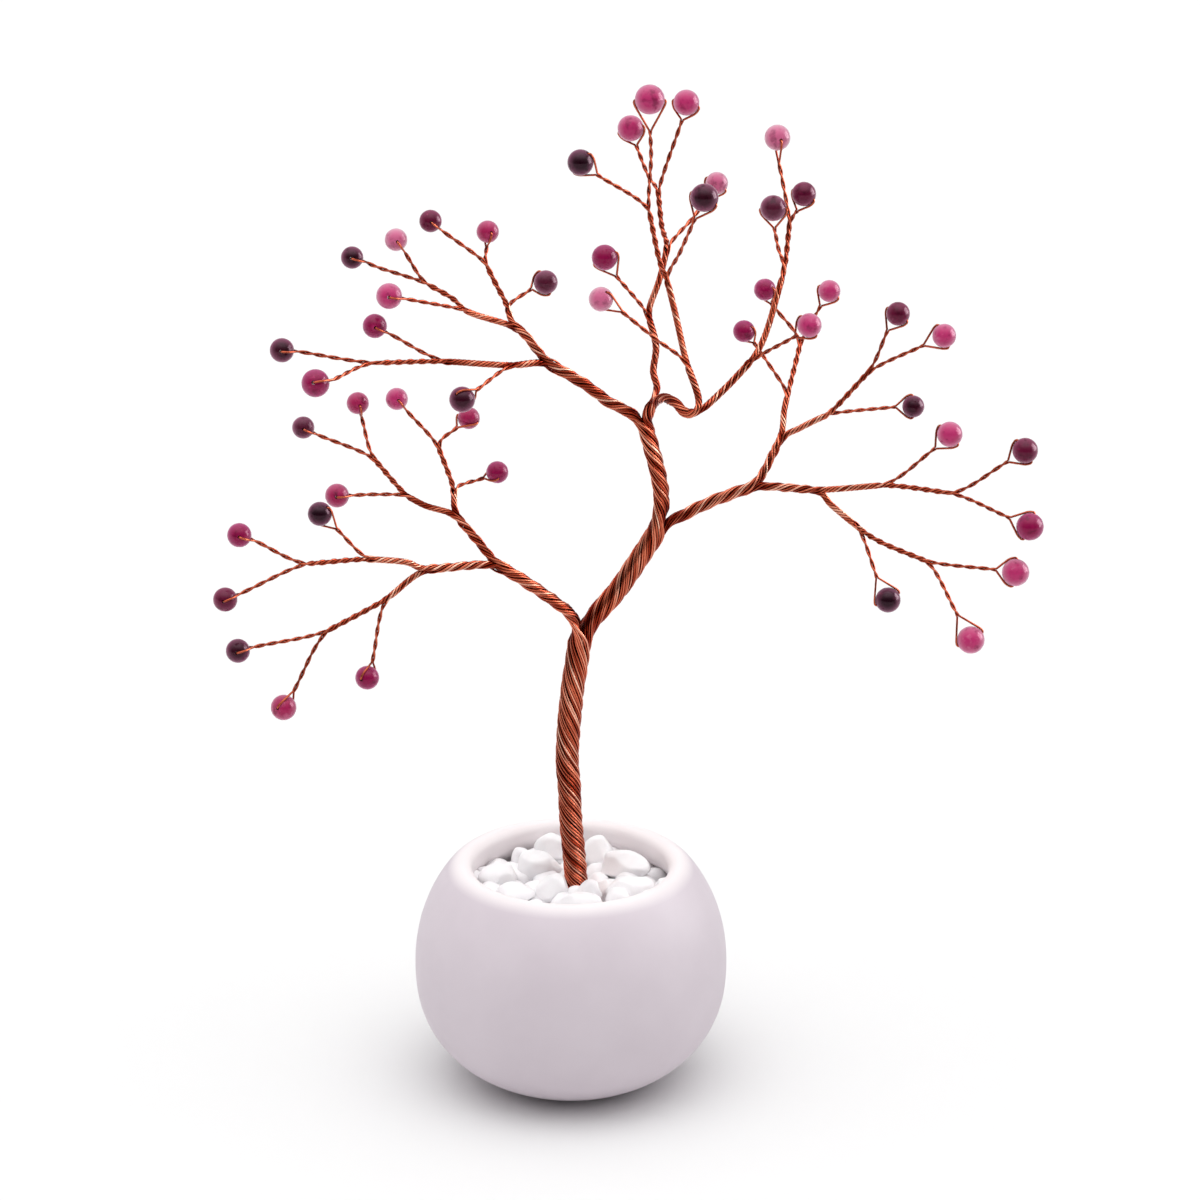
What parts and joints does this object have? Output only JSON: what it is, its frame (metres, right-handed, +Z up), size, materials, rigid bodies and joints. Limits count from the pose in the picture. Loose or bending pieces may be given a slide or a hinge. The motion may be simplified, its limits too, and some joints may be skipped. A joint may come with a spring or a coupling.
{
  "type": "wire tree sculpture",
  "caption": "Small tree of twisted copper wire with a round gemstone bead on each loop, standing in a round white pot filled with white pebbles.",
  "frame": {"origin": "middle of the pot's flat underside", "axes": "+Z up along the trunk; the tree is seen from -Y in the picture; +X to the viewer's right"},
  "size_m": [0.1893, 0.0752, 0.2464],
  "materials": {
    "ceramic": "matt white glaze with a faint lilac tint",
    "copper": null,
    "quartz": "tumbled white stone, satin",
    "pale_stone": "polished gemstone, mottled",
    "pink_stone": "polished gemstone, mottled",
    "rose_stone": "polished gemstone, mottled",
    "magenta_stone": "polished gemstone, mottled",
    "dusky_stone": "polished gemstone, mottled",
    "maroon_stone": "polished gemstone, mottled"
  },
  "bodies": {
    "root": {"pot": "ceramic", "wire_tree": "copper", "pebble_bed": "quartz", "pebble_01": "quartz", "pebble_02": "quartz", "pebble_03": "quartz", "pebble_04": "quartz", "pebble_05": "quartz", "pebble_06": "quartz", "pebble_07": "quartz", "pebble_08": "quartz", "pebble_09": "quartz", "pebble_10": "quartz", "pebble_11": "quartz", "bead_01": "rose_stone", "bead_02": "dusky_stone", "bead_03": "rose_stone", "bead_04": "magenta_stone", "bead_05": "rose_stone", "bead_06": "rose_stone", "bead_07": "maroon_stone", "bead_08": "magenta_stone", "bead_09": "magenta_stone", "bead_10": "magenta_stone", "bead_11": "maroon_stone", "bead_12": "rose_stone", "bead_13": "dusky_stone", "bead_14": "magenta_stone", "bead_15": "rose_stone", "bead_16": "pink_stone", "bead_17": "pale_stone", "bead_18": "maroon_stone", "bead_19": "maroon_stone", "bead_20": "magenta_stone", "bead_21": "maroon_stone", "bead_22": "magenta_stone", "bead_23": "magenta_stone", "bead_24": "rose_stone", "bead_25": "magenta_stone", "bead_26": "pink_stone", "bead_27": "pale_stone", "bead_28": "maroon_stone", "bead_29": "maroon_stone", "bead_30": "pink_stone", "bead_31": "pink_stone", "bead_32": "dusky_stone", "bead_33": "dusky_stone", "bead_34": "pale_stone", "bead_35": "magenta_stone", "bead_36": "magenta_stone", "bead_37": "pink_stone", "bead_38": "dusky_stone", "bead_39": "pink_stone", "bead_40": "maroon_stone", "bead_41": "pink_stone", "bead_42": "dusky_stone", "bead_43": "magenta_stone", "bead_44": "maroon_stone", "bead_45": "pink_stone", "bead_46": "pink_stone"}
  },
  "joints": []
}
